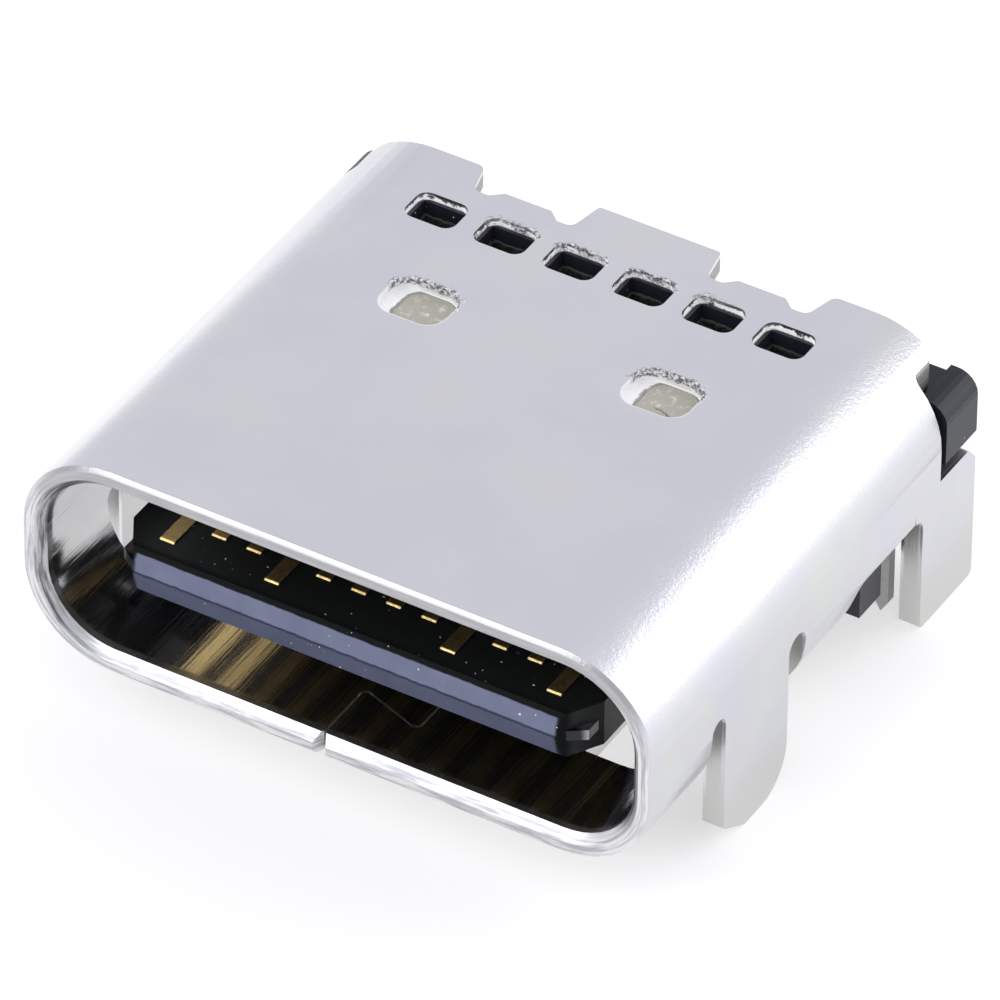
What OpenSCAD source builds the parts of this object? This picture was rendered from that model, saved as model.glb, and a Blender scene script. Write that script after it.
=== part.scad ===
// USB-C receptacle for a printed circuit board: a folded sheet-metal shell around a moulded
// housing whose tongue carries two rows of contacts and a steel mid-plate.
// X runs across the mouth, the mouth faces -Y with its edge at y = 0, and Z is up from the
// shell's flat bottom, which is the face that sits on the board.

/* [Shell] */
// Width of the shell over its two side walls
shell_w = 8.94; // [8.80:0.01:9.20]
// Height of the shell over its flat bottom and top
shell_h = 3.16; // [3.10:0.01:3.30]
// Thickness of the folded sheet
sheet_t = 0.30; // [0.20:0.01:0.32]
// Outside radius of the four long corners
corner_r = 1.28; // [1.20:0.01:1.36]
// Length of the shell's top at its two outer shoulders
top_len = 7.62; // [7.50:0.01:7.80]
// How far the side walls end in front of the shoulders
side_back = 0.55; // [0.45:0.01:0.60]
// Depth of the flare inside the mouth
flare = 0.12; // [0.05:0.01:0.16]
// Bevel on the mouth's outer edge
lip_bevel = 0.05; // [0.02:0.01:0.08]

/* [Rear edge of the top] */
// How far the cuts in the rear edge lie off the centre, towards +X
cut_shift = 0.08; // [0.00:0.01:0.10]
// Half width of the middle tab
tab_half_w = 0.88; // [0.70:0.01:0.90]
// Round at the middle tab's corners
tab_r = 0.06; // [0.02:0.01:0.10]
// How far the middle tab stands behind the shoulders
tab_out = 0.04; // [0.00:0.01:0.10]
// Distance from the centre to the inner pair of relief notches
inner_notch_x = 1.12; // [1.10:0.01:1.20]
// Distance from the centre to the outer pair of relief notches
outer_notch_x = 2.25; // [2.15:0.01:2.30]
// Width of a relief notch
notch_w = 0.30; // [0.28:0.01:0.34]
// Depth of the relief notches, measured from the shoulders
notch_d = 0.48; // [0.44:0.01:0.50]
// Round in the notches beside the tab and the shoulders
notch_r = 0.12; // [0.06:0.01:0.14]
// Depth of the low edge between two notches, measured from the shoulders
low_edge_d = 0.34; // [0.30:0.01:0.36]
// Width of the slope between a notch and the low edge
low_slope_w = 0.16; // [0.10:0.01:0.18]
// Rounds at both ends of that slope
low_slope_r = 0.05; // [0.02:0.01:0.06]
// Distance from the centre to the inner side of a shoulder
shoulder_x = 2.52; // [2.52:0.01:2.64]
// Round at the inner side of a shoulder
shoulder_r = 0.12; // [0.05:0.01:0.14]
// Distance from the side wall's outer face to the outer side of a shoulder
shoulder_end = 0.44; // [0.36:0.01:0.50]
// Round at the outer side of a shoulder
shoulder_end_r = 0.18; // [0.05:0.01:0.20]
// Round where a shoulder meets the side wall's rear edge
side_edge_r = 0.10; // [0.05:0.01:0.12]

/* [Windows and pressed marks] */
// Number of windows in the top
window_count = 6; // [2:1:6]
// Spacing of the windows
window_pitch = 1.00; // [0.90:0.01:1.05]
// Width of a window
window_w = 0.73; // [0.60:0.01:0.76]
// Length of a window along the part
window_len = 0.55; // [0.45:0.01:0.58]
// Distance from the shoulders to the windows' centre line
window_back = 1.08; // [1.04:0.01:1.12]
// Corner radius of a window
window_r = 0.16; // [0.08:0.01:0.20]
// Depth of the housing's bosses in the windows below the shell's top face
boss_below = 0.10; // [0.06:0.01:0.20]
// Thickness of a boss's wall at its top
boss_wall = 0.05; // [0.03:0.01:0.08]
// Depth of the tapered pocket in a boss
pocket_depth = 0.72; // [0.40:0.01:0.76]
// How far each wall of a pocket leans in towards its floor
pocket_slope = 0.12; // [0.04:0.01:0.14]
// Distance from the centre to each pressed mark
mark_x = 1.74; // [1.50:0.01:2.40]
// Distance from the mouth to the pressed marks
mark_y = 4.86; // [4.40:0.01:5.20]
// Width of a pressed mark
mark_w = 0.94; // [0.80:0.01:1.00]
// Length of a pressed mark along the part
mark_len = 0.76; // [0.60:0.01:0.80]
// Corner radius of a pressed mark
mark_r = 0.27; // [0.10:0.01:0.29]
// Depth of a pressed mark
mark_depth = 0.16; // [0.08:0.01:0.18]

/* [Legs] */
// Depth of the four legs below the shell's bottom
leg_drop = 0.70; // [0.60:0.01:1.50]
// Distance from the mouth to the front legs
front_leg_y = 1.80; // [1.60:0.01:2.00]
// Length of a front leg along the part
front_leg_len = 1.53; // [1.40:0.01:1.60]
// Depth along the part of the bevel at the front of a front leg's tip
leg_bevel_len = 0.52; // [0.30:0.01:0.60]
// Height of that bevel
leg_bevel_h = 0.30; // [0.20:0.01:0.40]
// Round at the back of a front leg's tip
front_leg_r = 0.60; // [0.40:0.01:0.65]
// Small rounds at the corners of the legs' tips
leg_tip_r = 0.08; // [0.02:0.01:0.10]
// Width of the slit in front of a front leg
front_slit_w = 0.32; // [0.24:0.01:0.40]
// Width of the slit behind a front leg
rear_slit_w = 0.41; // [0.30:0.01:0.46]
// Height of the slits' ends above the bottom
slit_top_z = 1.44; // [1.40:0.01:1.60]
// Width of the openings in the bottom where the front legs were cut out
blank_w = 1.77; // [1.60:0.01:1.95]
// How far the rear legs reach behind the shoulders
rear_leg_out = 0.35; // [0.32:0.01:0.38]
// Length of a rear leg along the part
rear_leg_len = 1.31; // [1.25:0.01:1.40]
// Height of a rear leg's free top edge
rear_leg_top = 1.39; // [1.38:0.01:1.42]
// Length of the slope behind that edge
leg_slope_len = 0.18; // [0.10:0.01:0.30]
// Height of that slope
leg_slope_h = 0.22; // [0.10:0.01:0.30]
// Length of the arch between the bottom and a rear leg
arch_len = 1.68; // [1.60:0.01:1.76]
// Height of the arch between the bottom and a rear leg
arch_top = 1.10; // [0.90:0.01:1.16]
// Round at the arch's front corner
arch_front_r = 0.30; // [0.10:0.01:0.40]
// Round at the arch's rear corner
arch_rear_r = 0.18; // [0.05:0.01:0.25]

/* [Seam in the bottom] */
// Distance of the seam from the centre, towards -X
seam_x = 0.20; // [0.10:0.01:0.40]
// Width of the closed seam
seam_gap = 0.03; // [0.02:0.01:0.05]
// Reach of the interlocking tongue across the seam
lock_reach = 0.95; // [0.60:0.01:1.20]
// Distance from the mouth to the interlock's neck
lock_y = 1.08; // [0.90:0.01:1.20]
// Length of the interlock's neck
lock_neck = 0.90; // [0.60:0.01:1.20]
// How much each side of the interlock widens towards its end
lock_flare = 0.33; // [0.20:0.01:0.40]
// Round at the interlock's corners
lock_r = 0.08; // [0.04:0.01:0.10]
// Width of the notch where the seam meets the mouth
seam_notch_w = 0.19; // [0.10:0.01:0.30]
// Depth of that notch
seam_notch_d = 0.18; // [0.10:0.01:0.25]

/* [Tongue] */
// Gap between each side of the tongue and the shell
tongue_gap = 0.82; // [0.78:0.01:0.86]
// Thickness of the tongue
tongue_t = 0.67; // [0.66:0.01:0.74]
// How far the tongue's middle lies below the middle of the mouth
tongue_drop = 0.05; // [0.00:0.01:0.08]
// Distance from the mouth to the tongue's nose
nose_y = 0.22; // [0.10:0.01:0.26]
// How far the nose leans back from its middle towards its top and bottom edges
nose_lean = 0.08; // [0.01:0.01:0.08]
// Width of the bevelled corners beside the nose
nose_corner_w = 0.35; // [0.25:0.01:0.40]
// Depth of the bevelled corners beside the nose
nose_corner_d = 0.58; // [0.45:0.01:0.65]
// Height of the bevels above and below the nose
nose_bevel_h = 0.05; // [0.04:0.01:0.12]
// Depth of those bevels
nose_bevel_d = 0.05; // [0.04:0.01:0.14]
// Distance from the mouth to the latch notches in the tongue's sides
latch_y = 1.60; // [1.40:0.01:1.80]
// Length of a latch notch
latch_len = 1.10; // [0.90:0.01:1.30]
// Depth of a latch notch
latch_d = 0.36; // [0.20:0.01:0.42]
// Length of the tongue's thick root
root_len = 1.90; // [1.80:0.01:2.10]
// Thickness of the root
root_t = 1.20; // [1.16:0.01:1.30]
// How far the root stands out beyond each side of the tongue
root_out = 0.25; // [0.10:0.01:0.35]

/* [Housing] */
// Distance from the shoulders to the wall where the plug stops
stop_back = 1.52; // [1.46:0.01:1.56]
// Clearance between the housing and the shell
fit = 0.02; // [0.01:0.01:0.05]
// Gap under the housing's bottom
standoff = 0.05; // [0.02:0.01:0.10]
// Gap between the housing's foot and the arches' top
foot_gap = 0.22; // [0.22:0.01:0.30]
// How far the foot reaches behind the wall where the plug stops
foot_past = 0.10; // [0.05:0.01:0.20]
// How much further back the foot's outer ends begin
foot_end_back = 0.67; // [0.40:0.01:0.80]
// Gap between the mid-plate's ground legs and the housing's waist
waist_gap = 0.10; // [0.06:0.01:0.30]
// Height of the waist
waist_top = 0.95; // [0.80:0.01:1.05]
// Height of the rear block between the ears, above the middle of the mouth
rear_up = 0.72; // [0.62:0.01:0.78]
// Height of the ears' top above the middle of the mouth
ear_up = 0.78; // [0.72:0.01:0.78]
// How much higher the ears stand outside the shell's shoulders
ear_rise = 0.11; // [0.02:0.01:0.14]
// Gap between the ears' higher part and the shell's shoulders
shoulder_gap = 0.05; // [0.04:0.01:0.08]
// Gap between the ears' underside and the rear legs' free top edge
ear_gap = 0.18; // [0.10:0.01:0.30]
// Width of an ear, measured from the side wall's outer face
ear_w = 0.87; // [0.77:0.01:1.00]
// Round along the ears' outer edge
ear_r = 0.30; // [0.10:0.01:0.40]
// Round along the ears' lower edge
ear_low_r = 0.03; // [0.01:0.01:0.10]

/* [Contacts] */
// Contacts in each of the two rows
contact_count = 12; // [12:1:12]
// Spacing of the contacts
contact_pitch = 0.50; // [0.48:0.01:0.52]
// Width of a contact
contact_w = 0.22; // [0.18:0.01:0.28]
// Thickness of a contact
contact_t = 0.15; // [0.10:0.01:0.16]
// How far a contact stands out of the tongue
contact_proud = 0.02; // [0.01:0.01:0.04]
// Distance from the mouth to the long contacts' tips
long_tip_y = 0.53; // [0.50:0.01:0.66]
// Distance from the mouth to the short contacts' tips
short_tip_y = 0.92; // [0.80:0.01:1.10]
// Length of the bevel at a contact's tip
tip_bevel = 0.10; // [0.03:0.01:0.12]
// Outside radius of the contacts' bends
bend_r = 0.22; // [0.17:0.01:0.26]
// Depth of the upper row's upright legs inside the housing's rear face
upright_in = 0.12; // [0.06:0.01:0.14]
// Reach of the upper row's solder feet behind the uprights
foot_reach = 0.72; // [0.40:0.01:0.90]
// Distance between the rows of pins, and from them to the uprights
pin_row_gap = 0.70; // [0.60:0.01:0.72]
// How far the pins end above the legs' tips
pin_short = 0.05; // [0.02:0.01:0.20]
// Height of the point on a pin
pin_point = 0.16; // [0.08:0.01:0.20]

/* [Inner pieces] */
// Thickness of the mid-plate
mid_t = 0.15; // [0.10:0.01:0.15]
// Distance from the mouth to the mid-plate's front edge
mid_y = 0.35; // [0.32:0.01:0.42]
// How far the mid-plate's edges lie inside the tongue's sides
mid_inset = 0.04; // [0.02:0.01:0.08]
// Width of the bevelled corners at the mid-plate's front
mid_corner_w = 0.22; // [0.15:0.01:0.26]
// Depth of those corners
mid_corner_d = 0.16; // [0.10:0.01:0.20]
// Length of the wings that carry the mid-plate's ground legs
wing_len = 0.42; // [0.36:0.01:0.46]
// Inside radius of the bends at the ground legs
mid_bend_r = 0.07; // [0.04:0.01:0.10]
// Gap between a ground leg and the side wall
ground_gap = 0.17; // [0.12:0.01:0.19]
// Width of a ground leg
ground_leg_w = 0.20; // [0.14:0.01:0.22]
// Thickness of the insert around each row of contacts
wafer_t = 0.40; // [0.38:0.01:0.42]
// How far the inserts' sides lie inside the tongue's sides
wafer_in = 0.25; // [0.15:0.01:0.30]
// Length of the inserts
wafer_len = 2.85; // [2.70:0.01:2.95]
// Distance from the inserts' rear end to the uprights
wafer_back = 0.40; // [0.35:0.01:0.44]
// Thickness of a ground pad on the root
pad_t = 0.10; // [0.05:0.01:0.12]
// How far a ground pad's sides lie inside the tongue's sides
pad_in = 0.45; // [0.25:0.01:0.80]
// Length of a ground pad in front of the housing's wall
pad_len = 1.50; // [1.20:0.01:1.55]
// Length of the pad's tang inside the housing
pad_tang = 0.24; // [0.10:0.01:0.26]

/* [Hidden] */
ROWS = ["a", "b"];
CONTACTS = [for (row = ROWS) for (i = [1:contact_count]) str("contact_", row, i)];
$fn = 48;
// Segments in a rounded corner of an outline
arc_steps = 6;
// How far a cutter runs past the face that it cuts
over = 0.5;

opening_w = shell_w - 2 * sheet_t;
opening_h = shell_h - 2 * sheet_t;
opening_r = corner_r - sheet_t;
mid_z = shell_h / 2;
inner_x = shell_w / 2 - sheet_t;
// Stations along the part
side_len = top_len - side_back;
cavity_d = top_len - stop_back;
notch_y = top_len - notch_d;
low_edge_y = top_len - low_edge_d;
window_y = top_len - window_back;
rear_y = top_len + rear_leg_out;
rear_leg_y = rear_y - rear_leg_len;
bottom_len = rear_leg_y - arch_len;
foot_rear_y = cavity_d + foot_past;
foot_end_y = bottom_len + fit + foot_end_back;
ear_y = side_len + fit;
upright_y = rear_y - upright_in;
pin_row_y = upright_y - 2 * pin_row_gap;
wafer_y = upright_y - wafer_back - wafer_len;
root_y = cavity_d - root_len;
// The mid-plate's ground legs stand beside the rear legs' front edges
ground_leg_y = rear_leg_y + fit;
// Stations across the part
shoulder_end_x = shell_w / 2 - shoulder_end;
blank_x = shell_w / 2 - blank_w;
ear_x = shell_w / 2 - ear_w;
ear_step_x = shoulder_end_x + shoulder_gap;
ground_leg_x = inner_x - ground_gap - ground_leg_w / 2;
waist_x = ground_leg_x - ground_leg_w / 2 - waist_gap;
tongue_w = opening_w - 2 * tongue_gap;
nose_w = tongue_w - 2 * nose_corner_w;
root_w = tongue_w + 2 * root_out;
wafer_w = tongue_w - 2 * wafer_in;
pad_w = tongue_w - 2 * pad_in;
// Height where the side walls are flat and the legs' sheet starts
fold_z = corner_r;
foot_top = arch_top - foot_gap;
rear_top = mid_z + rear_up;
ear_top = mid_z + ear_up;
ear_bottom = rear_leg_top + ear_gap;
tongue_z = mid_z - tongue_drop;
upper_z = tongue_z + tongue_t / 2 + contact_proud;
lower_z = tongue_z - tongue_t / 2 - contact_proud;
pin_tip_z = pin_short - leg_drop;
first_contact_x = -(contact_count - 1) / 2 * contact_pitch;
LONG_CONTACTS = [1, 4, 9, 12];

// ---- outlines -------------------------------------------------------------------------

function unit(v) = v / norm(v);

function angle_of(v) = atan2(v[1], v[0]);

// The shorter way round from one angle to another
function sweep(from, to) = let (d = to - from) d > 180 ? d - 360 : d < -180 ? d + 360 : d;

// Arc that rounds the corner p between its neighbours a and b
function corner_arc(a, p, b, r) =
    let (
        u = unit(a - p),
        v = unit(b - p),
        half = acos(u * v) / 2,
        centre = p + unit(u + v) * r / sin(half),
        from = angle_of(p + u * r / tan(half) - centre),
        turn = sweep(from, angle_of(p + v * r / tan(half) - centre))
    )
    [for (k = [0:arc_steps]) centre + r * [cos(from + turn * k / arc_steps),
                                           sin(from + turn * k / arc_steps)]];

// Outline through corners given as [x, y, radius]
function rounded(c) =
    let (n = len(c), p = [for (q = c) [q[0], q[1]]])
    [for (i = [0:n - 1])
        each c[i][2] == 0 ? [p[i]] : corner_arc(p[(i + n - 1) % n], p[i], p[(i + 1) % n], c[i][2])];

// A path moved sideways by d, with mitred corners
function beside(path, d) =
    let (n = len(path))
    [for (i = [0:n - 1])
        let (
            before = unit(path[max(i, 1)] - path[max(i, 1) - 1]),
            after = unit(path[min(i + 1, n - 1)] - path[min(i + 1, n - 1) - 1]),
            along = unit(before + after),
            side = [-along[1], along[0]]
        )
        path[i] + side * d / (side * [-before[1], before[0]])];

module rounded_rect(w, h, r) {
    square([w - 2 * r, h], center = true);
    square([w, h - 2 * r], center = true);
    for (x = [-1, 1], y = [-1, 1])
        translate([x * (w / 2 - r), y * (h / 2 - r)]) circle(r);
}

// An outline in X and Z, run from y along +Y
module along_y(y, length) {
    translate([0, y + length, 0]) rotate([90, 0, 0]) linear_extrude(length) children();
}

// An outline in Y and Z, run from x along +X
module along_x(x, length) {
    translate([x, 0, 0]) rotate([90, 0, 90]) linear_extrude(length) children();
}

// An outline in X and Y, run from z upwards
module upwards(z, length) {
    translate([0, 0, z]) linear_extrude(length) children();
}

// The same child on the right and, mirrored, on the left
module both_sides() {
    children();
    mirror([1, 0, 0]) children();
}

// A rounded bar along Y whose section shrinks from w, h, r at y = 0 by `step` all round
module tapered_bar(w, h, r, step, length) {
    translate([0, 0, mid_z]) {
        along_x(r - w / 2, w - 2 * r)
            polygon([[0, h / 2], [length, h / 2 - step], [length, step - h / 2], [0, -h / 2]]);
        upwards(r - h / 2, h - 2 * r)
            polygon([[w / 2, 0], [w / 2 - step, length], [step - w / 2, length], [-w / 2, 0]]);
        for (x = [-1, 1], z = [-1, 1])
            translate([x * (w / 2 - r), 0, z * (h / 2 - r)])
                rotate([-90, 0, 0]) cylinder(h = length, r1 = r, r2 = r - step);
    }
}

// ---- shell ----------------------------------------------------------------------------

module shell_tube() {
    difference() {
        union() {
            along_y(lip_bevel, top_len + tab_out - lip_bevel)
                translate([0, mid_z]) rounded_rect(shell_w, shell_h, corner_r);
            tapered_bar(shell_w - 2 * lip_bevel, shell_h - 2 * lip_bevel, corner_r - lip_bevel,
                        -lip_bevel, lip_bevel);
        }
        along_y(-over, top_len + tab_out + 2 * over)
            translate([0, mid_z]) rounded_rect(opening_w, opening_h, opening_r);
        tapered_bar(opening_w + 2 * flare, opening_h + 2 * flare, opening_r + flare, flare, flare);
    }
}

// Everything that is open between the mouth's bottom and the legs' folds
module leg_blanks() {
    both_sides() {
        translate([blank_x, front_leg_y - front_slit_w, -over])
            cube([shell_w, front_slit_w + front_leg_len + rear_slit_w, fold_z + over]);
        translate([0, rear_leg_y - arch_rear_r, -over])
            cube([shell_w, rear_leg_len + 2 * arch_rear_r, fold_z + over]);
    }
}

module front_leg() {
    slit_front = front_leg_y - front_slit_w;
    slit_rear = front_leg_y + front_leg_len + rear_slit_w;
    shoulder_z = slit_top_z - front_slit_w;
    along_x(inner_x, sheet_t) polygon(rounded([
        [slit_front, fold_z, 0],
        [slit_front, shoulder_z, 0],
        [front_leg_y, shoulder_z, 0],
        [front_leg_y, leg_bevel_h - leg_drop, leg_tip_r],
        [front_leg_y + leg_bevel_len, -leg_drop, leg_tip_r],
        [front_leg_y + front_leg_len, -leg_drop, front_leg_r],
        [front_leg_y + front_leg_len, shoulder_z, 0],
        [slit_rear, shoulder_z, 0],
        [slit_rear, fold_z, 0]]));
}

module rear_leg() {
    along_x(inner_x, sheet_t) polygon(rounded([
        [rear_leg_y - arch_rear_r, rear_leg_top, 0],
        [rear_leg_y - arch_rear_r, arch_top - arch_rear_r, 0],
        [rear_leg_y, arch_top - arch_rear_r, 0],
        [rear_leg_y, -leg_drop, leg_tip_r],
        [rear_y, -leg_drop, leg_tip_r],
        [rear_y, rear_leg_top - leg_slope_h, leg_tip_r],
        [rear_y - leg_slope_len, rear_leg_top, leg_tip_r]]));
}

// A slit through a side wall with a round upper end
module slit(y, width) {
    along_x(inner_x - over, sheet_t + 2 * over) {
        translate([y + width / 2, slit_top_z - width / 2]) circle(width / 2);
        translate([y, -over]) square([width, slit_top_z - width / 2 + over]);
    }
}

module arch() {
    along_x(-shell_w, 2 * shell_w) polygon(rounded([
        [bottom_len, -leg_drop - over, 0],
        [bottom_len, arch_top, arch_front_r],
        [rear_leg_y, arch_top, arch_rear_r],
        [rear_leg_y, -leg_drop - over, 0]]));
}

// The rear edge of the top from its middle to the right side wall, as [x, y, radius]
function rear_edge() =
    let (half = notch_w / 2, slope = low_slope_w / 2)
    [[tab_half_w, top_len + tab_out, tab_r],
     [inner_notch_x - half, notch_y, notch_r],
     [inner_notch_x + half - slope, notch_y, low_slope_r],
     [inner_notch_x + half + slope, low_edge_y, low_slope_r],
     [outer_notch_x - half - slope, low_edge_y, low_slope_r],
     [outer_notch_x - half + slope, notch_y, low_slope_r],
     [outer_notch_x + half, notch_y, notch_r],
     [shoulder_x, top_len, shoulder_r]];

// The same from the shoulder on, where the side wall's rear edge lies further forward
function shoulder_edge() =
    [[shoulder_end_x, top_len, shoulder_end_r],
     [shoulder_end_x, side_len, side_edge_r],
     [shell_w, side_len, 0]];

// All that is cut off behind the top and the side walls
module rear_trim() {
    right = concat([for (c = rear_edge()) c + [cut_shift, 0, 0]], shoulder_edge());
    left = concat([for (c = rear_edge()) [cut_shift - c[0], c[1], c[2]]],
                  [for (c = shoulder_edge()) [-c[0], c[1], c[2]]]);
    upwards(rear_leg_top, shell_h) polygon(rounded(concat(
        [for (i = [len(left) - 1:-1:0]) left[i]],
        right,
        [[shell_w, rear_y + over, 0], [-shell_w, rear_y + over, 0]])));
}

module windows() {
    for (i = [0:window_count - 1])
        translate([(i - (window_count - 1) / 2) * window_pitch, window_y]) children();
}

// A mark pressed into the top
module pressed_mark() {
    upwards(shell_h - mark_depth, mark_depth + over)
        translate([mark_x, mark_y]) rounded_rect(mark_w, mark_len, mark_r);
}

// The butt seam with its interlocking tongue, and the notch where it starts
module seam() {
    end_x = lock_reach - seam_x;
    path = rounded([
        [-seam_x, -over, 0],
        [-seam_x, lock_y, lock_r],
        [end_x, lock_y - lock_flare, lock_r],
        [end_x, lock_y + lock_neck + lock_flare, lock_r],
        [-seam_x, lock_y + lock_neck, lock_r],
        [-seam_x, bottom_len + over, 0]]);
    upwards(-over, sheet_t + 2 * over) {
        polygon(concat(beside(path, seam_gap / 2),
                       [for (i = [len(path) - 1:-1:0]) beside(path, -seam_gap / 2)[i]]));
        polygon([[-seam_x - seam_notch_w / 2, -over], [-seam_x - seam_notch_w / 2, 0],
                 [-seam_x, seam_notch_d], [-seam_x + seam_notch_w / 2, 0],
                 [-seam_x + seam_notch_w / 2, -over]]);
    }
}

module shell() {
    color([0.79, 0.79, 0.82]) difference() {
        union() {
            difference() {
                shell_tube();
                leg_blanks();
            }
            both_sides() {
                front_leg();
                rear_leg();
            }
        }
        both_sides() {
            slit(front_leg_y - front_slit_w, front_slit_w);
            slit(front_leg_y + front_leg_len, rear_slit_w);
            pressed_mark();
        }
        rear_trim();
        arch();
        seam();
        upwards(shell_h - sheet_t - over, sheet_t + 2 * over)
            windows() rounded_rect(window_w, window_len, window_r);
    }
}

// ---- contacts -------------------------------------------------------------------------

function contact_x(i) = first_contact_x + (i - 1) * contact_pitch;

function tip_y(i) = len([for (k = LONG_CONTACTS) if (k == i) k]) > 0 ? long_tip_y : short_tip_y;

// Upper row: along the tongue, down behind the housing and out to a solder foot
function upper_outline(tip) = rounded([
    [tip, upper_z - contact_t, 0],
    [tip, upper_z - tip_bevel, 0],
    [tip + tip_bevel, upper_z, 0],
    [upright_y, upper_z, bend_r],
    [upright_y, contact_t, bend_r - contact_t],
    [upright_y + foot_reach, contact_t, 0],
    [upright_y + foot_reach, 0, 0],
    [upright_y - contact_t, 0, bend_r],
    [upright_y - contact_t, upper_z - contact_t, bend_r - contact_t]]);

// Lower row: along the tongue and down into a pointed pin
function lower_outline(tip, pin_y) = rounded([
    [tip, lower_z + contact_t, 0],
    [tip, lower_z + tip_bevel, 0],
    [tip + tip_bevel, lower_z, 0],
    [pin_y - contact_t / 2, lower_z, bend_r - contact_t],
    [pin_y - contact_t / 2, pin_tip_z + pin_point, 0],
    [pin_y, pin_tip_z, 0],
    [pin_y + contact_t / 2, pin_tip_z + pin_point, 0],
    [pin_y + contact_t / 2, lower_z + contact_t, bend_r]]);

module upper_contact(i) {
    along_x(contact_x(i) - contact_w / 2, contact_w) polygon(upper_outline(tip_y(i)));
}

module lower_contact(i) {
    pin_y = pin_row_y + (i % 2) * pin_row_gap;
    along_x(contact_x(i) - contact_w / 2, contact_w) polygon(lower_outline(tip_y(i), pin_y));
}

// ---- inner pieces ---------------------------------------------------------------------

module mid_plate_half() {
    edge_x = tongue_w / 2 - mid_inset;
    wing_x = ground_leg_x + ground_leg_w / 2;
    back_y = ground_leg_y - mid_bend_r;
    wing_y = back_y - wing_len;
    upwards(tongue_z - mid_t / 2, mid_t) polygon([
        [0, mid_y],
        [edge_x - mid_corner_w, mid_y],
        [edge_x, mid_y + mid_corner_d],
        [edge_x, latch_y],
        [edge_x - latch_d + mid_inset, latch_y],
        [edge_x - latch_d + mid_inset, latch_y + latch_len],
        [edge_x, latch_y + latch_len],
        [edge_x, wing_y],
        [wing_x, wing_y],
        [wing_x, back_y],
        [0, back_y]]);
    ground_leg(back_y);
}

// A leg bent down from the plate's wing, with a pointed end
module ground_leg(back_y) {
    top_z = tongue_z + mid_t / 2;
    intersection() {
        along_x(ground_leg_x - ground_leg_w / 2, ground_leg_w) polygon(rounded([
            [back_y - wing_len / 2, top_z - mid_t, 0],
            [back_y - wing_len / 2, top_z, 0],
            [ground_leg_y + mid_t, top_z, mid_bend_r + mid_t],
            [ground_leg_y + mid_t, pin_tip_z, 0],
            [ground_leg_y, pin_tip_z, 0],
            [ground_leg_y, top_z - mid_t, mid_bend_r]]));
        along_y(back_y - wing_len, 2 * wing_len) translate([ground_leg_x, 0]) polygon([
            [-ground_leg_w / 2, top_z],
            [ground_leg_w / 2, top_z],
            [ground_leg_w / 2, pin_tip_z + pin_point],
            [0, pin_tip_z],
            [-ground_leg_w / 2, pin_tip_z + pin_point]]);
    }
}

module mid_plate() {
    color([0.70, 0.70, 0.72]) both_sides() mid_plate_half();
}

// A moulded insert lying on the mid-plate's upper (side = 1) or lower (side = -1) face
module wafer_block(side) {
    z = side > 0 ? tongue_z + mid_t / 2 : tongue_z - mid_t / 2 - wafer_t;
    translate([-wafer_w / 2, wafer_y, z]) cube([wafer_w, wafer_len, wafer_t]);
}

module upper_wafer() {
    color([0.10, 0.10, 0.12]) difference() {
        wafer_block(1);
        for (i = [1:contact_count]) upper_contact(i);
    }
}

module lower_wafer() {
    color([0.10, 0.10, 0.12]) difference() {
        wafer_block(-1);
        for (i = [1:contact_count]) lower_contact(i);
    }
}

module pad_block() {
    translate([-pad_w / 2, cavity_d - pad_len, tongue_z + root_t / 2])
        cube([pad_w, pad_len + pad_tang, pad_t]);
}

// The child above the tongue's middle plane, turned over to lie below it
module turned_under() {
    translate([0, 0, 2 * tongue_z]) mirror([0, 0, 1]) children();
}

module upper_ground_pad() {
    color([0.72, 0.72, 0.74]) pad_block();
}

module lower_ground_pad() {
    color([0.72, 0.72, 0.74]) turned_under() pad_block();
}

// ---- housing --------------------------------------------------------------------------

module tongue() {
    half_t = tongue_t / 2;
    lean_y = nose_y + nose_lean;
    bevel_y = lean_y + nose_bevel_d;
    difference() {
        intersection() {
            along_x(-tongue_w / 2, tongue_w) translate([0, tongue_z]) polygon([
                [cavity_d, half_t], [bevel_y, half_t], [lean_y, half_t - nose_bevel_h],
                [nose_y, 0], [lean_y, nose_bevel_h - half_t], [bevel_y, -half_t],
                [cavity_d, -half_t]]);
            upwards(0, shell_h) polygon([
                [-nose_w / 2, nose_y], [nose_w / 2, nose_y],
                [tongue_w / 2, nose_y + nose_corner_d], [tongue_w / 2, cavity_d],
                [-tongue_w / 2, cavity_d], [-tongue_w / 2, nose_y + nose_corner_d]]);
        }
        both_sides() translate([tongue_w / 2 - latch_d, latch_y, 0])
            cube([latch_d + over, latch_len, shell_h]);
    }
    root_rise = (root_t - tongue_t) / 2;
    along_x(-root_w / 2, root_w) translate([0, tongue_z]) polygon([
        [root_y, half_t], [root_y + root_rise, root_t / 2], [cavity_d, root_t / 2],
        [cavity_d, -root_t / 2], [root_y + root_rise, -root_t / 2], [root_y, -half_t]]);
}

// Walls around the cavity's end where the shell's lower corners are cut away
module foot() {
    side_x = inner_x - fit;
    difference() {
        translate([-side_x, bottom_len + fit, standoff])
            cube([2 * side_x, foot_rear_y - bottom_len - fit, foot_top - standoff]);
        along_y(0, cavity_d)
            translate([0, mid_z]) rounded_rect(opening_w, opening_h, opening_h / 2 - fit);
        both_sides() translate([waist_x, 0, 0]) cube([shell_w, foot_end_y, arch_top]);
    }
}

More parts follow.
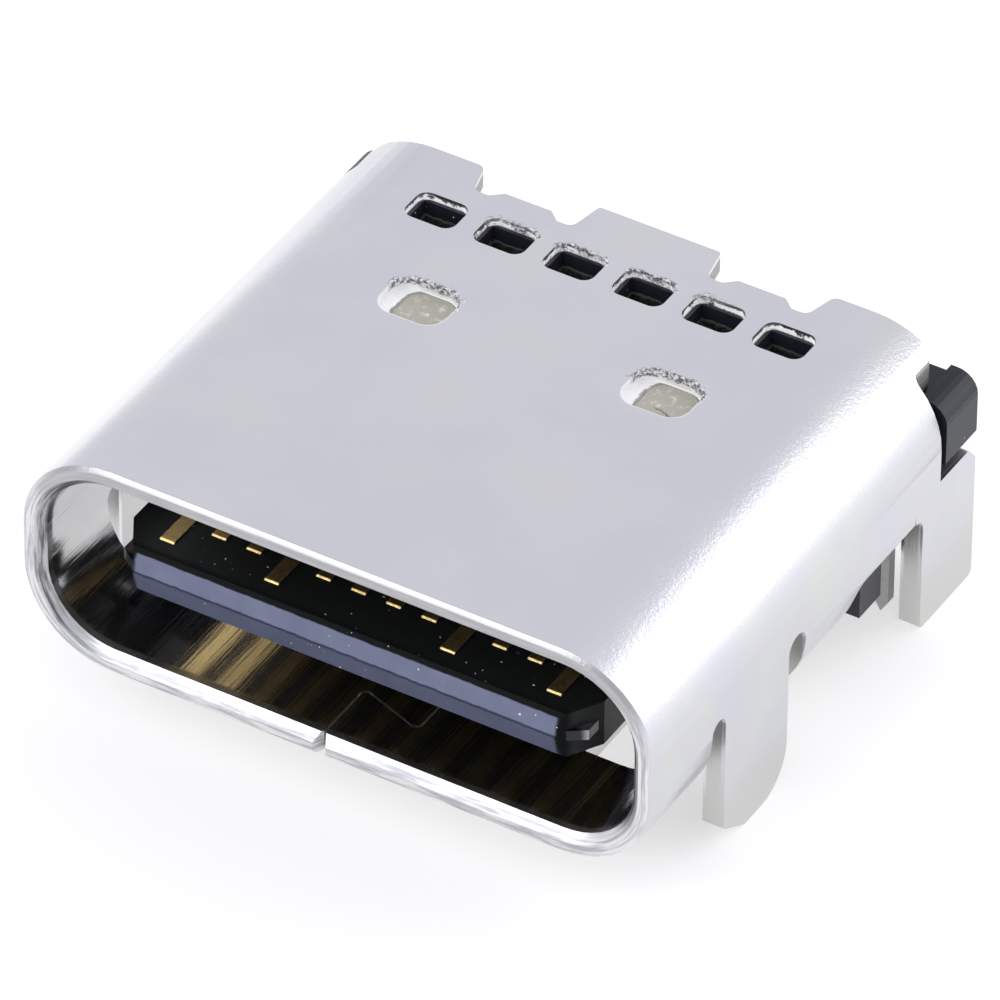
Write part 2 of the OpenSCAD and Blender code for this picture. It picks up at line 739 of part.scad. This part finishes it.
module block() {
    w = opening_w - 2 * fit;
    h = opening_h - 2 * fit;
    difference() {
        along_y(cavity_d, ear_y - cavity_d)
            translate([0, mid_z]) rounded_rect(w, h, opening_r - fit);
        both_sides() translate([waist_x, foot_rear_y, 0])
            cube([shell_w, rear_y, waist_top]);
    }
    translate([-waist_x, foot_rear_y, standoff])
        cube([2 * waist_x, rear_y - foot_rear_y, waist_top - standoff]);
}

// Bosses that fill the shell's windows
module bosses() {
    windows() upwards(mid_z + opening_h / 2 - sheet_t, 2 * sheet_t - boss_below)
        rounded_rect(window_w - 2 * fit, window_len - 2 * fit, window_r - fit);
}

// Pockets with sloping walls in the bosses
module pockets() {
    top_z = shell_h - boss_below;
    floor_z = top_z - pocket_depth;
    half_w = window_w / 2 - fit - boss_wall;
    half_len = window_len / 2 - fit - boss_wall;
    windows() intersection() {
        along_x(-half_w, 2 * half_w) polygon([
            [-half_len, top_z], [half_len, top_z],
            [half_len - pocket_slope, floor_z], [pocket_slope - half_len, floor_z]]);
        along_y(-half_len, 2 * half_len) polygon([
            [-half_w, top_z], [half_w, top_z],
            [half_w - pocket_slope, floor_z], [pocket_slope - half_w, floor_z]]);
    }
}

module rear_block() {
    length = rear_y - ear_y;
    side_x = inner_x - fit;
    translate([-side_x, ear_y, waist_top]) cube([2 * side_x, length, ear_bottom - waist_top]);
    translate([-ear_x, ear_y, ear_bottom]) cube([2 * ear_x, length, rear_top - ear_bottom]);
    both_sides() along_y(ear_y + side_edge_r, length - side_edge_r) polygon(rounded([
        [ear_x, ear_bottom, 0], [shell_w / 2, ear_bottom, ear_low_r],
        [shell_w / 2, ear_top + ear_rise, ear_r], [ear_step_x, ear_top + ear_rise, 0],
        [ear_step_x, ear_top, 0], [ear_x, ear_top, 0]]));
}

// Comb slots behind the housing where the upper row's uprights stand
module comb_slots() {
    for (i = [1:contact_count])
        translate([contact_x(i) - contact_w / 2, upright_y - contact_t, -over])
            cube([contact_w, rear_y, upper_z + over]);
}

module housing() {
    color([0.11, 0.11, 0.14]) difference() {
        union() {
            tongue();
            foot();
            block();
            rear_block();
            bosses();
        }
        pockets();
        comb_slots();
        for (i = [1:contact_count]) {
            upper_contact(i);
            lower_contact(i);
        }
        wafer_block(1);
        wafer_block(-1);
        both_sides() mid_plate_half();
        pad_block();
        turned_under() pad_block();
    }
}

// ---- the pieces -----------------------------------------------------------------------

shell();
housing();
upper_wafer();
lower_wafer();
mid_plate();
upper_ground_pad();
lower_ground_pad();
for (i = [1:contact_count]) {
    color([0.85, 0.65, 0.25]) upper_contact(i);
    color([0.85, 0.65, 0.25]) lower_contact(i);
}
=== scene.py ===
"""Looks of a board-mounted USB-C socket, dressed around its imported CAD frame."""

import math

import bpy
from mathutils import Matrix, Vector


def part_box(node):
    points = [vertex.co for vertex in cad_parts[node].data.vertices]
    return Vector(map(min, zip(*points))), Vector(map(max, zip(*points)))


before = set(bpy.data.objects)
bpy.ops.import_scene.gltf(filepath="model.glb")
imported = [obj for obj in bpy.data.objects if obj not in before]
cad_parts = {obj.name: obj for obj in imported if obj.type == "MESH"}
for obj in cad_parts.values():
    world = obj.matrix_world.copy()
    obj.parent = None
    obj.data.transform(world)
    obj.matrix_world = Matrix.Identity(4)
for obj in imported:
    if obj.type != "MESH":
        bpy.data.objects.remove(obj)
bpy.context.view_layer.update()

MM = 0.001

# ---- places on the part, in mm ----------------------------------------------------------

low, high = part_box("shell")
HALF_W, SHELL_TOP = high.x / MM, high.z / MM
MID_Z = SHELL_TOP / 2
CORNER_R = 1.28
# The sides run straight down between the first two of these, and behind the third
LEG_FRONT, LEG_BACK, REAR_LEG_FRONT = 1.45, 3.78, 4.9
# Depths under the shell's outer skin where a sheared edge and the inside begin
EDGE_DEPTH, INSIDE_DEPTH = 0.03, 0.24

# The pressed marks in the shell's top, and the dull floor that each shows
MARK_X, MARK_Y, MARK_W, MARK_LEN, MARK_R = 1.74, 4.86, 0.94, 0.76, 0.27
MARK_FLOOR_X, MARK_FLOOR_W, MARK_FLOOR_LEN, MARK_FLOOR_R = 0.07, 0.72, 0.74, 0.24
# The windows, how far out their row reaches, and the painted highlight line of a ledge on the walls of the
# pockets in them
WINDOW_PITCH, WINDOW_Y, WINDOW_W, WINDOW_LEN, WINDOW_R = 1.0, 6.54, 0.73, 0.55, 0.16
WINDOWS_REACH = 3.0
POCKET_FLOOR, POCKET_TOP, POCKET_HALF_LEN, LEDGE_Z = 2.35, 3.05, 0.34, 2.87

# The tongue's nose: half its width, the rear end and top of its face painted with a bluish sheen, and its
# parting line
NOSE_X, NOSE_END, NOSE_TOP, PARTING_Z = 3.0, 0.335, 1.81, 1.56
# The contacts: where their tips begin, half their width, and where their tin tails begin
CONTACT_PITCH, LONG_TIP, SHORT_TIP, CONTACT_HALF, TAIL_Y = 0.5, 0.53, 0.92, 0.092, 5.6
TIP_BEND = 0.055
# The long contacts stand this far to either side of a place on each half of the tongue
LONG_MIDDLE, LONG_OFFSET = 2.0, 0.75
# The two lower contacts painted bright, as a painted reflection, stand round this place; the other lower
# contacts are painted dark as painted shade
BRIGHT_PAIR_X, BRIGHT_PAIR_HALF = -2.5, 0.38


# ---- camera and light -------------------------------------------------------------------

def direction(azimuth, elevation):
    """From the part outwards; azimuth 0 is in front of the mouth, 90 on its right."""
    turn, rise = math.radians(azimuth), math.radians(elevation)
    return Vector((math.sin(turn) * math.cos(rise), -math.cos(turn) * math.cos(rise), math.sin(rise)))


def make_camera():
    """Long lens from the right front, at the photo's angle."""
    distance = 150 * MM
    aim = Vector((0.072, 3.819, 1.491)) * MM
    back = direction(30.68, 39.27)
    roll = Matrix.Rotation(math.radians(0.49), 3, "Z")
    data = bpy.data.cameras.new("camera")
    data.lens, data.sensor_width = 438.4, 36.0
    data.clip_start, data.clip_end = 10 * MM, 10.0
    camera = bpy.data.objects.new("camera", data)
    camera.rotation_mode = "QUATERNION"
    camera.rotation_quaternion = ((-back).to_track_quat("-Z", "Y").to_matrix() @ roll).to_quaternion()
    camera.location = aim + back * distance
    bpy.context.scene.collection.objects.link(camera)
    bpy.context.scene.camera = camera


def softbox(name, azimuth, elevation, size, power):
    """A square area light that looks at the part."""
    distance = 120 * MM
    away = direction(azimuth, elevation)
    data = bpy.data.lights.new(name, "AREA")
    data.shape, data.size, data.energy = "SQUARE", size, power
    light = bpy.data.objects.new(name, data)
    light.location = Vector((0, 4 * MM, 1 * MM)) + away * distance
    light.rotation_mode = "QUATERNION"
    light.rotation_quaternion = (-away).to_track_quat("-Z", "Y")
    bpy.context.scene.collection.objects.link(light)


def make_light():
    """Pale, even light from all round and three soft boxes."""
    world = bpy.data.worlds.new("studio")
    world.use_nodes = True
    background = world.node_tree.nodes["Background"]
    background.inputs["Color"].default_value = (0.93, 0.935, 1.0, 1)
    background.inputs["Strength"].default_value = 0.82
    bpy.context.scene.world = world
    softbox("rear_right", 136, 25, 100 * MM, 0.052)
    softbox("overhead", 60, 84, 90 * MM, 0.004)
    softbox("front_left", -32, 40, 90 * MM, 0.040)


def make_floor():
    """A white floor under the legs that glows a little, less so close to the part."""
    half, level = 0.4, low.z
    mesh = bpy.data.meshes.new("floor")
    mesh.from_pydata([(-half, -half, level), (half, -half, level), (half, half, level), (-half, half, level)],
                     [], [(0, 1, 2, 3)])
    floor = bpy.data.objects.new("floor", mesh)
    bpy.context.scene.collection.objects.link(floor)
    g = Graph("floor_white")
    point, x, y, z = g.place()
    mesh.materials.append(g.surface((0.50, 0.50, 0.50), 0.9, Emission_Color=(1, 1, 1),
                                    Emission_Strength=hypotenuse(x, y).between(4, 26, 0.56, 0.78)))


# ---- building a material ----------------------------------------------------------------

class Value:
    """A number inside a node material. Its methods and + - * abs() add the nodes for them."""

    def __init__(self, graph, socket):
        self.graph, self.socket = graph, socket

    def __add__(self, other):
        return self.graph.math("ADD", self, other)

    def __sub__(self, other):
        return self.graph.math("SUBTRACT", self, other)

    def __rsub__(self, other):
        return self.graph.math("SUBTRACT", other, self)

    def __mul__(self, other):
        return self.graph.math("MULTIPLY", self, other)

    def __abs__(self):
        return self.graph.math("ABSOLUTE", self)

    def sign(self):
        return self.graph.math("SIGN", self)

    def root(self):
        return self.graph.math("SQRT", self)

    def fraction(self):
        return self.graph.math("FRACT", self)

    def larger(self, other):
        return self.graph.math("MAXIMUM", self, other)

    def smaller(self, other):
        return self.graph.math("MINIMUM", self, other)

    def above(self, limit):
        """1 past the limit, 0 elsewhere."""
        return self.graph.math("GREATER_THAN", self, limit)

    def below(self, limit):
        """1 short of the limit, 0 elsewhere."""
        return self.graph.math("LESS_THAN", self, limit)

    def ramp(self, start, end):
        """0 up to start and 1 from end on, in a smooth curve; start may be the larger one."""
        return self.graph.map_range(self, start, end, 0.0, 1.0, "SMOOTHSTEP")

    def between(self, start, end, first, last):
        """first up to start and last from end on, in a straight line."""
        return self.graph.map_range(self, start, end, first, last, "LINEAR")


class Graph:
    """Builds one node material. What its methods take are numbers, Values, colours or sockets."""

    def __init__(self, name):
        self.material = bpy.data.materials.new(name)
        self.material.use_nodes = True
        self.tree = self.material.node_tree
        self.tree.nodes.clear()
        output = self.tree.nodes.new("ShaderNodeOutputMaterial")
        self.shader = self.tree.nodes.new("ShaderNodeBsdfPrincipled")
        self.tree.links.new(self.shader.outputs[0], output.inputs["Surface"])

    def put(self, socket, value):
        if isinstance(value, Value):
            value = value.socket
        if isinstance(value, bpy.types.NodeSocket):
            self.tree.links.new(value, socket)
        elif socket.type == "RGBA":
            socket.default_value = (*value, 1)
        else:
            socket.default_value = value

    def add(self, kind, inputs, **settings):
        node = self.tree.nodes.new("ShaderNode" + kind)
        for key, value in settings.items():
            setattr(node, key, value)
        for key, value in inputs.items():
            self.put(node.inputs[key], value)
        return node

    def math(self, operation, a, b=0.0):
        return Value(self, self.add("Math", {0: a, 1: b}, operation=operation).outputs[0])

    def map_range(self, value, start, end, first, last, kind):
        node = self.add("MapRange", {"Value": value, "From Min": start, "From Max": end,
                                     "To Min": first, "To Max": last}, interpolation_type=kind)
        return Value(self, node.outputs[0])

    def place(self):
        """The point on the part, in mm: as a vector, and along X, Y and Z."""
        metres = self.add("TexCoord", {}).outputs["Object"]
        point = self.add("VectorMath", {0: metres, "Scale": 1 / MM}, operation="SCALE").outputs[0]
        axes = self.add("SeparateXYZ", {0: point}).outputs
        return point, *(Value(self, axis) for axis in axes)

    def noise(self, point, scale, detail=2.0, roughness=0.5):
        node = self.add("TexNoise", {"Vector": point, "Scale": scale,
                                     "Detail": detail, "Roughness": roughness})
        return Value(self, node.outputs[0])

    def mix(self, share, a, b):
        """Colour a where the share is 0, and b where it is 1."""
        return self.add("Mix", {"Factor": share, 6: a, 7: b}, data_type="RGBA").outputs[2]

    def bump(self, height, strength, distance, below=None):
        """Relief of this height, on top of the relief below it."""
        inputs = {"Height": height, "Strength": strength, "Distance": distance}
        if below is not None:
            inputs["Normal"] = below
        return self.add("Bump", inputs).outputs[0]

    def surface(self, base, roughness, metallic=0.0, **more):
        """Sets the shader and gives the material; in a further input's name _ stands for a space."""
        self.put(self.shader.inputs["Base Color"], base)
        self.put(self.shader.inputs["Roughness"], roughness)
        self.put(self.shader.inputs["Metallic"], metallic)
        for key, value in more.items():
            self.put(self.shader.inputs[key.replace("_", " ")], value)
        return self.material


def hypotenuse(a, b):
    return (a * a + b * b).root()


def from_outline(dx, dy, width, length, radius):
    """Distance from a rounded outline in plan, less than 0 inside it; dx, dy from its middle."""
    past_x = (abs(dx) - (width / 2 - radius)).larger(0.0)
    past_y = (abs(dy) - (length / 2 - radius)).larger(0.0)
    return hypotenuse(past_x, past_y) - radius


def from_nearest(x, pitch):
    """Distance along X from the middle of the nearest piece in a row with a gap at X 0."""
    shift = 10.0  # a whole number of pitches, so that the fraction is taken of a positive number
    return (((x + shift) * (1 / pitch)).fraction() - 0.5) * pitch


# ---- the shell's metal ------------------------------------------------------------------

def depth_in_wall(x, y, z):
    """How deep a point lies under the shell's outer skin: 0 outside, 0.3 inside."""
    straight = (y.above(LEG_FRONT) * y.below(LEG_BACK)).larger(y.above(REAR_LEG_FRONT)) * z.below(CORNER_R)
    past_x = (abs(x) - (HALF_W - CORNER_R)).larger(0.0)
    past_z = (abs(z - MID_Z) - (MID_Z - CORNER_R)).larger(0.0) * (1.0 - straight)
    return CORNER_R - hypotenuse(past_x, past_z)


def mark_shares(x, y, z, wander):
    """The pressed marks: the recess, whose walls are painted white as a painted highlight, its dull floor,
    the dark lines on it, the rough rear rim.
    """
    dx, dy = x - x.sign() * MARK_X, y - MARK_Y
    off_mark = from_outline(dx, dy, MARK_W, MARK_LEN, MARK_R)
    recess = off_mark.ramp(0.02, -0.005)
    off_wall = 1.0 - off_mark.ramp(-0.03, -0.01)
    floor_x = dx - MARK_FLOOR_X
    off_floor = from_outline(floor_x, dy, MARK_FLOOR_W, MARK_FLOOR_LEN, MARK_FLOOR_R) + wander * 0.6
    floor = off_floor.ramp(0.01, -0.02) * off_wall
    outline = off_floor.ramp(0.035, 0.01) * off_floor.ramp(-0.035, -0.01) * off_wall
    # A crack crosses the right mark's floor a little in front of its middle
    crack_y = dy + 0.13 + (wander + floor_x * 0.25)
    crack = x.above(0.0) * abs(crack_y).ramp(0.022, 0.010) * abs(floor_x - 0.02).ramp(0.16, 0.10)
    rear_rim = (dy.ramp(0.02, 0.16) * off_mark.ramp(-0.035, -0.01) * (off_mark + wander).ramp(0.06, 0.02)
                * (z + wander).ramp(SHELL_TOP - 0.10, SHELL_TOP - 0.06))
    return recess, floor, (outline * 0.7).larger(crack), rear_rim


def window_shares(x, y, z, wander):
    """The windows: a painted highlight, white and glowing a little, along the rims of their rear and left
    walls, and the rough edge behind it.
    """
    dx, dy = from_nearest(x, WINDOW_PITCH), y - WINDOW_Y
    off_window = from_outline(dx, dy, WINDOW_W, WINDOW_LEN, WINDOW_R)
    near = abs(x).below(WINDOWS_REACH)
    rear_or_left = dy.ramp(-0.02, 0.12).larger(dx.ramp(-0.20, -0.30) * dy.ramp(-0.24, -0.10))
    # The bright rim is a painted highlight.
    rim = (near * rear_or_left * (off_window + wander * 0.3).ramp(0.012, 0.0)
           * (z + wander).ramp(SHELL_TOP - 0.04, SHELL_TOP - 0.07))
    rough = (near * dy.ramp(0.10, 0.20) * off_window.ramp(-0.02, -0.01)
             * (off_window + wander).ramp(0.045, 0.01) * abs(x + 0.2).ramp(2.2, 0.8))
    return rim, rough


def nickel_tone(g, point, x, z):
    """The satin plating: faint clouds, flanks painted darker as painted shade, and legs darker and warmer
    towards their feet.
    """
    cloud = g.noise(point, 0.45, 4.0, 0.6)
    tint = g.noise(point, 0.9, 2.0)
    tone = g.mix(cloud.ramp(0.35, 0.65), (0.735, 0.74, 0.775), (0.775, 0.775, 0.79))
    tone = g.mix(tint.ramp(0.5, 0.7) * 0.35, tone, (0.775, 0.775, 0.745))
    # The flanks are painted darker than the top: painted shade on the side walls.
    flank_painted_shade = g.mix(tint.ramp(0.35, 0.7), (0.60, 0.60, 0.645), (0.63, 0.635, 0.62))
    tone = g.mix(abs(x).ramp(4.15, 4.42) * 0.9, tone, flank_painted_shade)
    return g.mix(z.ramp(0.4, -0.2), tone, (0.60, 0.595, 0.58))


def edge_tones(g, base, x, y, z, depth, sheared, mouth, streaks):
    """Sheared edges, painted darker higher up as painted shade, and the lips of the mouth with streaks along
    them, painted darker on the upper lip's front edge and on the left as painted shade.
    """
    streaky = streaks.ramp(0.38, 0.62)
    # Sheared edges are painted darker above about 1 mm, where they lie in shadow, and lighter below: painted
    # shade.
    sheared_tone_with_painted_shade = g.mix(z.ramp(1.1, 0.6), (0.38, 0.37, 0.36), (0.62, 0.615, 0.60))
    lip_tone = g.mix(streaky, (0.46, 0.46, 0.49), (0.80, 0.80, 0.80))
    base = g.mix(sheared.larger(mouth * 0.8), base, g.mix(mouth, sheared_tone_with_painted_shade, lip_tone))
    # The upper lip's rounded front edge is painted darker: painted shade that tones down its highlight.
    upper_lip_painted_shade = y.ramp(0.07, 0.035) * z.ramp(2.2, 2.8)
    base = g.mix(upper_lip_painted_shade * 0.8, base, (0.42, 0.42, 0.43))
    # The lip's inner face on the left is painted darker, its streaks kept: painted shade.
    left_lip_painted_shade = mouth * depth.ramp(0.16, 0.22) * x.ramp(-3.2, -3.9)
    return g.mix(left_lip_painted_shade, base, g.mix(streaky, (0.14, 0.14, 0.15), (0.55, 0.55, 0.57)))


def shell_metal():
    """Satin nickel outside, smoother inside, with sheared edges and rough rims at the cuts, painted
    highlights in the pressed marks and on the windows' rims, and painted shade on the flanks, sheared edges
    and lips.
    """
    g = Graph("shell_metal")
    point, x, y, z = g.place()
    depth = depth_in_wall(x, y, z)
    inside = depth.ramp(INSIDE_DEPTH, 0.29)
    outside = 1.0 - inside
    sheared = depth.ramp(EDGE_DEPTH, 0.06) * (1.0 - depth.ramp(INSIDE_DEPTH, 0.27))
    mouth = y.ramp(0.26, 0.20) * depth.ramp(0.02, 0.05)
    grain = g.noise(point, 26.0, 3.0, 0.6)
    ragged = g.noise(point, 9.0, 3.0, 0.7)
    beads = g.noise(point, 20.0, 2.0, 0.6)
    along_lip = g.add("CombineXYZ", {0: x * 1.5, 1: depth * 26.0, 2: z * 1.5}).outputs[0]
    streaks = g.noise(along_lip, 1.0, 4.0, 0.6)

    top = z.above(SHELL_TOP - 0.25)
    wander = ragged.between(0.3, 0.7, -0.04, 0.04)
    recess, recess_floor, floor_lines, mark_rim = (top * share for share in mark_shares(x, y, z, wander))
    rim, rough_edge = (top * share for share in window_shares(x, y, z, wander))
    rough_rim = mark_rim.larger(rough_edge)

    base = nickel_tone(g, point, x, z)
    base = edge_tones(g, base, x, y, z, depth, sheared, mouth, streaks)
    floor_tone = g.mix(ragged.ramp(0.50, 0.80), (0.44, 0.42, 0.35), (0.80, 0.78, 0.72))
    # The recess walls are painted white: a painted highlight where they catch the light.
    base = g.mix(recess, base, (0.95, 0.95, 0.95))
    base = g.mix(recess * recess_floor, base, floor_tone)
    base = g.mix(recess * floor_lines, base, (0.13, 0.12, 0.11))
    # The windows' rear and left rims are painted white: painted highlight.
    base = g.mix(rim, base, (0.97, 0.97, 0.97))
    base = g.mix(rough_rim, base, g.mix(beads.ramp(0.42, 0.56), (0.82, 0.82, 0.83), (0.18, 0.18, 0.19)))

    # The painted highlights of the recess walls and window rims, and the rough burred rims, are made dull and
    # non-metallic.
    painted_highlight_and_burr = recess.larger(rim).larger(rough_rim)
    roughness = (grain.between(0.3, 0.7, 0.28, 0.32) + inside * (1.0 - mouth) * -0.16
                 + (painted_highlight_and_burr + sheared) * 0.15)
    drawn = g.add("VectorMath", {0: point, 1: (24.0, 1.2, 24.0)}, operation="MULTIPLY").outputs[0]
    draw_lines = g.noise(drawn, 1.0, 3.0)
    coarse = rough_rim * beads + (sheared * streaks * 0.12 + inside * draw_lines * 0.06)
    frost = g.noise(point, 16.0, 3.0, 0.7) * abs(x).ramp(2.9, 3.5) * z.ramp(2.0, 2.7) * outside
    relief = g.bump(grain * outside, 0.02, 0.01 * MM)
    relief = g.bump(frost, 0.5, 0.012 * MM, relief)
    relief = g.bump(coarse, 0.8, 0.05 * MM, relief)
    # Emission makes the windows' rims glow a little: a painted highlight.
    return g.surface(base, roughness, 1.0 - painted_highlight_and_burr * 0.9, Normal=relief,
                     Emission_Color=(1, 1, 1), Emission_Strength=rim * 0.3)


# ---- the other materials ----------------------------------------------------------------

def nose_tone(g, z, cloud, ragged):
    """The violet nose, a painted sheen of bluish light: a darker lower band as painted shade, a lighter upper
    one as painted light, and the line between.
    """
    above_parting = z + ragged * 0.5 - PARTING_Z
    # The lower band is painted darker as painted shade, the upper one lighter as painted light, both violet
    # as a painted sheen.
    lower = g.mix(cloud, (0.060, 0.067, 0.110), (0.090, 0.100, 0.158))
    upper = g.mix(cloud, (0.13, 0.145, 0.225), (0.205, 0.22, 0.315))
    tone = g.mix(above_parting.ramp(-0.01, 0.01), lower, upper)
    return g.mix(abs(above_parting).ramp(0.022, 0.006) * 0.8, tone, (0.02, 0.02, 0.04))


def pocket_tones(g, base, x, y, z, grain, ragged):
    """The walls of the pockets in the windows: greyer below a thin uneven lighter line, a painted highlight
    standing in for the lit edge of a ledge.
    """
    pocket = (z.above(POCKET_FLOOR) * z.ramp(POCKET_TOP, POCKET_TOP - 0.03) * abs(x).below(WINDOWS_REACH)
              * abs(y - WINDOW_Y).below(POCKET_HALF_LEN))
    off_ledge = z - (ragged * 1.2 + LEDGE_Z)
    lower_wall = g.mix(grain.ramp(0.4, 0.65), (0.012, 0.013, 0.012), (0.05, 0.055, 0.05))
    base = g.mix(pocket * off_ledge.ramp(0.02, -0.02), base, lower_wall)
    # A lighter line along the ledge: painted highlight.
    return g.mix(pocket * abs(off_ledge).ramp(0.022, 0.010), base, (0.10, 0.11, 0.10))


def black_plastic(name):
    """Black moulding, with a violet nose painted with a bluish sheen, a front painted darker as painted
    shade, and a few bright specks on the tongue.
    """
    g = Graph(name)
    point, x, y, z = g.place()
    cloud = g.noise(point, 2.5, 3.0)
    grain = g.noise(point, 30.0, 2.0)
    ragged = g.noise(point, 8.0, 3.0).between(0.3, 0.7, -0.012, 0.012)
    dust = g.noise(point, 17.0, 1.0, 0.4) - y.between(0.8, 1.4, 0.0, 0.035)
    # The nose's front face gets a painted sheen of bluish light.
    nose = (y.below(NOSE_END) * (z + ragged * 0.4).ramp(NOSE_TOP + 0.01, NOSE_TOP - 0.01)
            * (abs(x) + ragged).ramp(NOSE_X + 0.02, NOSE_X - 0.04))
    base = g.mix(cloud, (0.008, 0.009, 0.014), (0.016, 0.018, 0.027))
    # The front of the housing, under the shell's roof, is painted darker: painted shade.
    base = g.mix(y.ramp(4.0, 3.0), base, (0.007, 0.008, 0.008))
    base = pocket_tones(g, base, x, y, z, grain, ragged)
    base = g.mix(nose, base, nose_tone(g, z, cloud, ragged))
    base = g.mix(dust.ramp(0.76, 0.79), base, (0.8, 0.8, 0.85))
    return g.surface(base, grain.between(0.3, 0.7, 0.36, 0.46), Normal=g.bump(grain, 0.12, 0.01 * MM),
                     IOR=1.43, Specular_IOR_Level=y.between(0.36, 0.46, 0.06, 0.5))


def contact_metal():
    """Gold on the tongue with painted reflection and painted shade, painted bright at the tips as a painted
    highlight, with black corners there; tin on the tails.
    """
    g = Graph("contact_metal")
    point, x, y, z = g.place()
    grain = g.noise(point, 14.0, 3.0)
    upper_row = z.above(PARTING_Z)
    long_one = abs(abs(abs(x) - LONG_MIDDLE) - LONG_OFFSET).below(0.2)
    behind_bend = y - ((SHORT_TIP - long_one * (SHORT_TIP - LONG_TIP)) + TIP_BEND)
    reach = (hypotenuse(from_nearest(x, CONTACT_PITCH), behind_bend.smaller(0.0))
             + grain.between(0.3, 0.7, -0.006, 0.006))
    corner = upper_row * reach.ramp(CONTACT_HALF + 0.002, CONTACT_HALF + 0.012) * y.ramp(3.0, 2.8)
    # The bright tips are a painted highlight.
    tip_highlight = behind_bend.ramp(0.08, 0.03) * g.noise(point, 28.0, 2.0).between(0.35, 0.6, 0.35, 1.0)

    # The upper contacts at the left end are painted bright and the rest dark: painted reflection, and painted
    # shade under the shell's roof.
    upper_gold_lit_and_shaded = g.mix(x.ramp(-2.2, -1.9), (0.62, 0.45, 0.19), (0.22, 0.15, 0.06))
    # Two lower contacts are painted bright and the rest dark: painted reflection and painted shade.
    lower_gold_lit_and_shaded = g.mix(abs(x - BRIGHT_PAIR_X).ramp(BRIGHT_PAIR_HALF, BRIGHT_PAIR_HALF + 0.04),
                       (1.0, 0.76, 0.36), (0.10, 0.08, 0.04))
    gold = g.mix(grain * 0.6, g.mix(upper_row, lower_gold_lit_and_shaded, upper_gold_lit_and_shaded), (0.9, 0.65, 0.28))
    gold = g.mix(upper_row * tip_highlight, gold, (1.0, 0.76, 0.34))
    gold = g.mix(corner, gold, (0.01, 0.01, 0.012))
    tin = g.mix(grain, (0.62, 0.62, 0.62), (0.72, 0.72, 0.72))
    return g.surface(g.mix(y.ramp(TAIL_Y, TAIL_Y + 0.1), gold, tin), 0.42, 1.0 - corner,
                     Normal=g.bump(grain, 0.35, 0.02 * MM))


def plate_metal():
    """Grey steel that is dark at the tips beside the nose and bright behind them."""
    g = Graph("plate_metal")
    point, x, y, z = g.place()
    grain = g.noise(point, 12.0, 3.0)
    bright = g.mix(grain, (0.30, 0.30, 0.31), (0.46, 0.46, 0.47))
    return g.surface(g.mix(y.ramp(0.44, 0.52), (0.04, 0.04, 0.045), bright),
                     grain.between(0.3, 0.7, 0.36, 0.46), 1.0, Normal=g.bump(grain, 0.2, 0.01 * MM))


# ---- dressing the part ------------------------------------------------------------------

def soften(node, width):
    """Rounds a node's sharp edges a little, as shearing does."""
    weld = node.modifiers.new("weld", "WELD")
    weld.merge_threshold = 0.001 * MM
    bevel = node.modifiers.new("bevel", "BEVEL")
    bevel.width, bevel.segments = width, 2
    bevel.limit_method, bevel.angle_limit = "ANGLE", math.radians(40)
    bevel.use_clamp_overlap = True


def dress():
    """Gives every node of the frame its material and softens the shell."""
    shell, housing, inserts = shell_metal(), black_plastic("housing_plastic"), black_plastic("insert_plastic")
    contacts, plates = contact_metal(), plate_metal()
    for name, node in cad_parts.items():
        if name.startswith("contact_"):
            look = contacts
        elif name.endswith("_wafer"):
            look = inserts
        else:
            look = {"shell": shell, "housing": housing}.get(name, plates)
        node.data.materials.clear()
        node.data.materials.append(look)
    soften(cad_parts["shell"], 0.04 * MM)


make_camera()
make_light()
make_floor()
dress()
bpy.context.scene.view_settings.view_transform = "Standard"
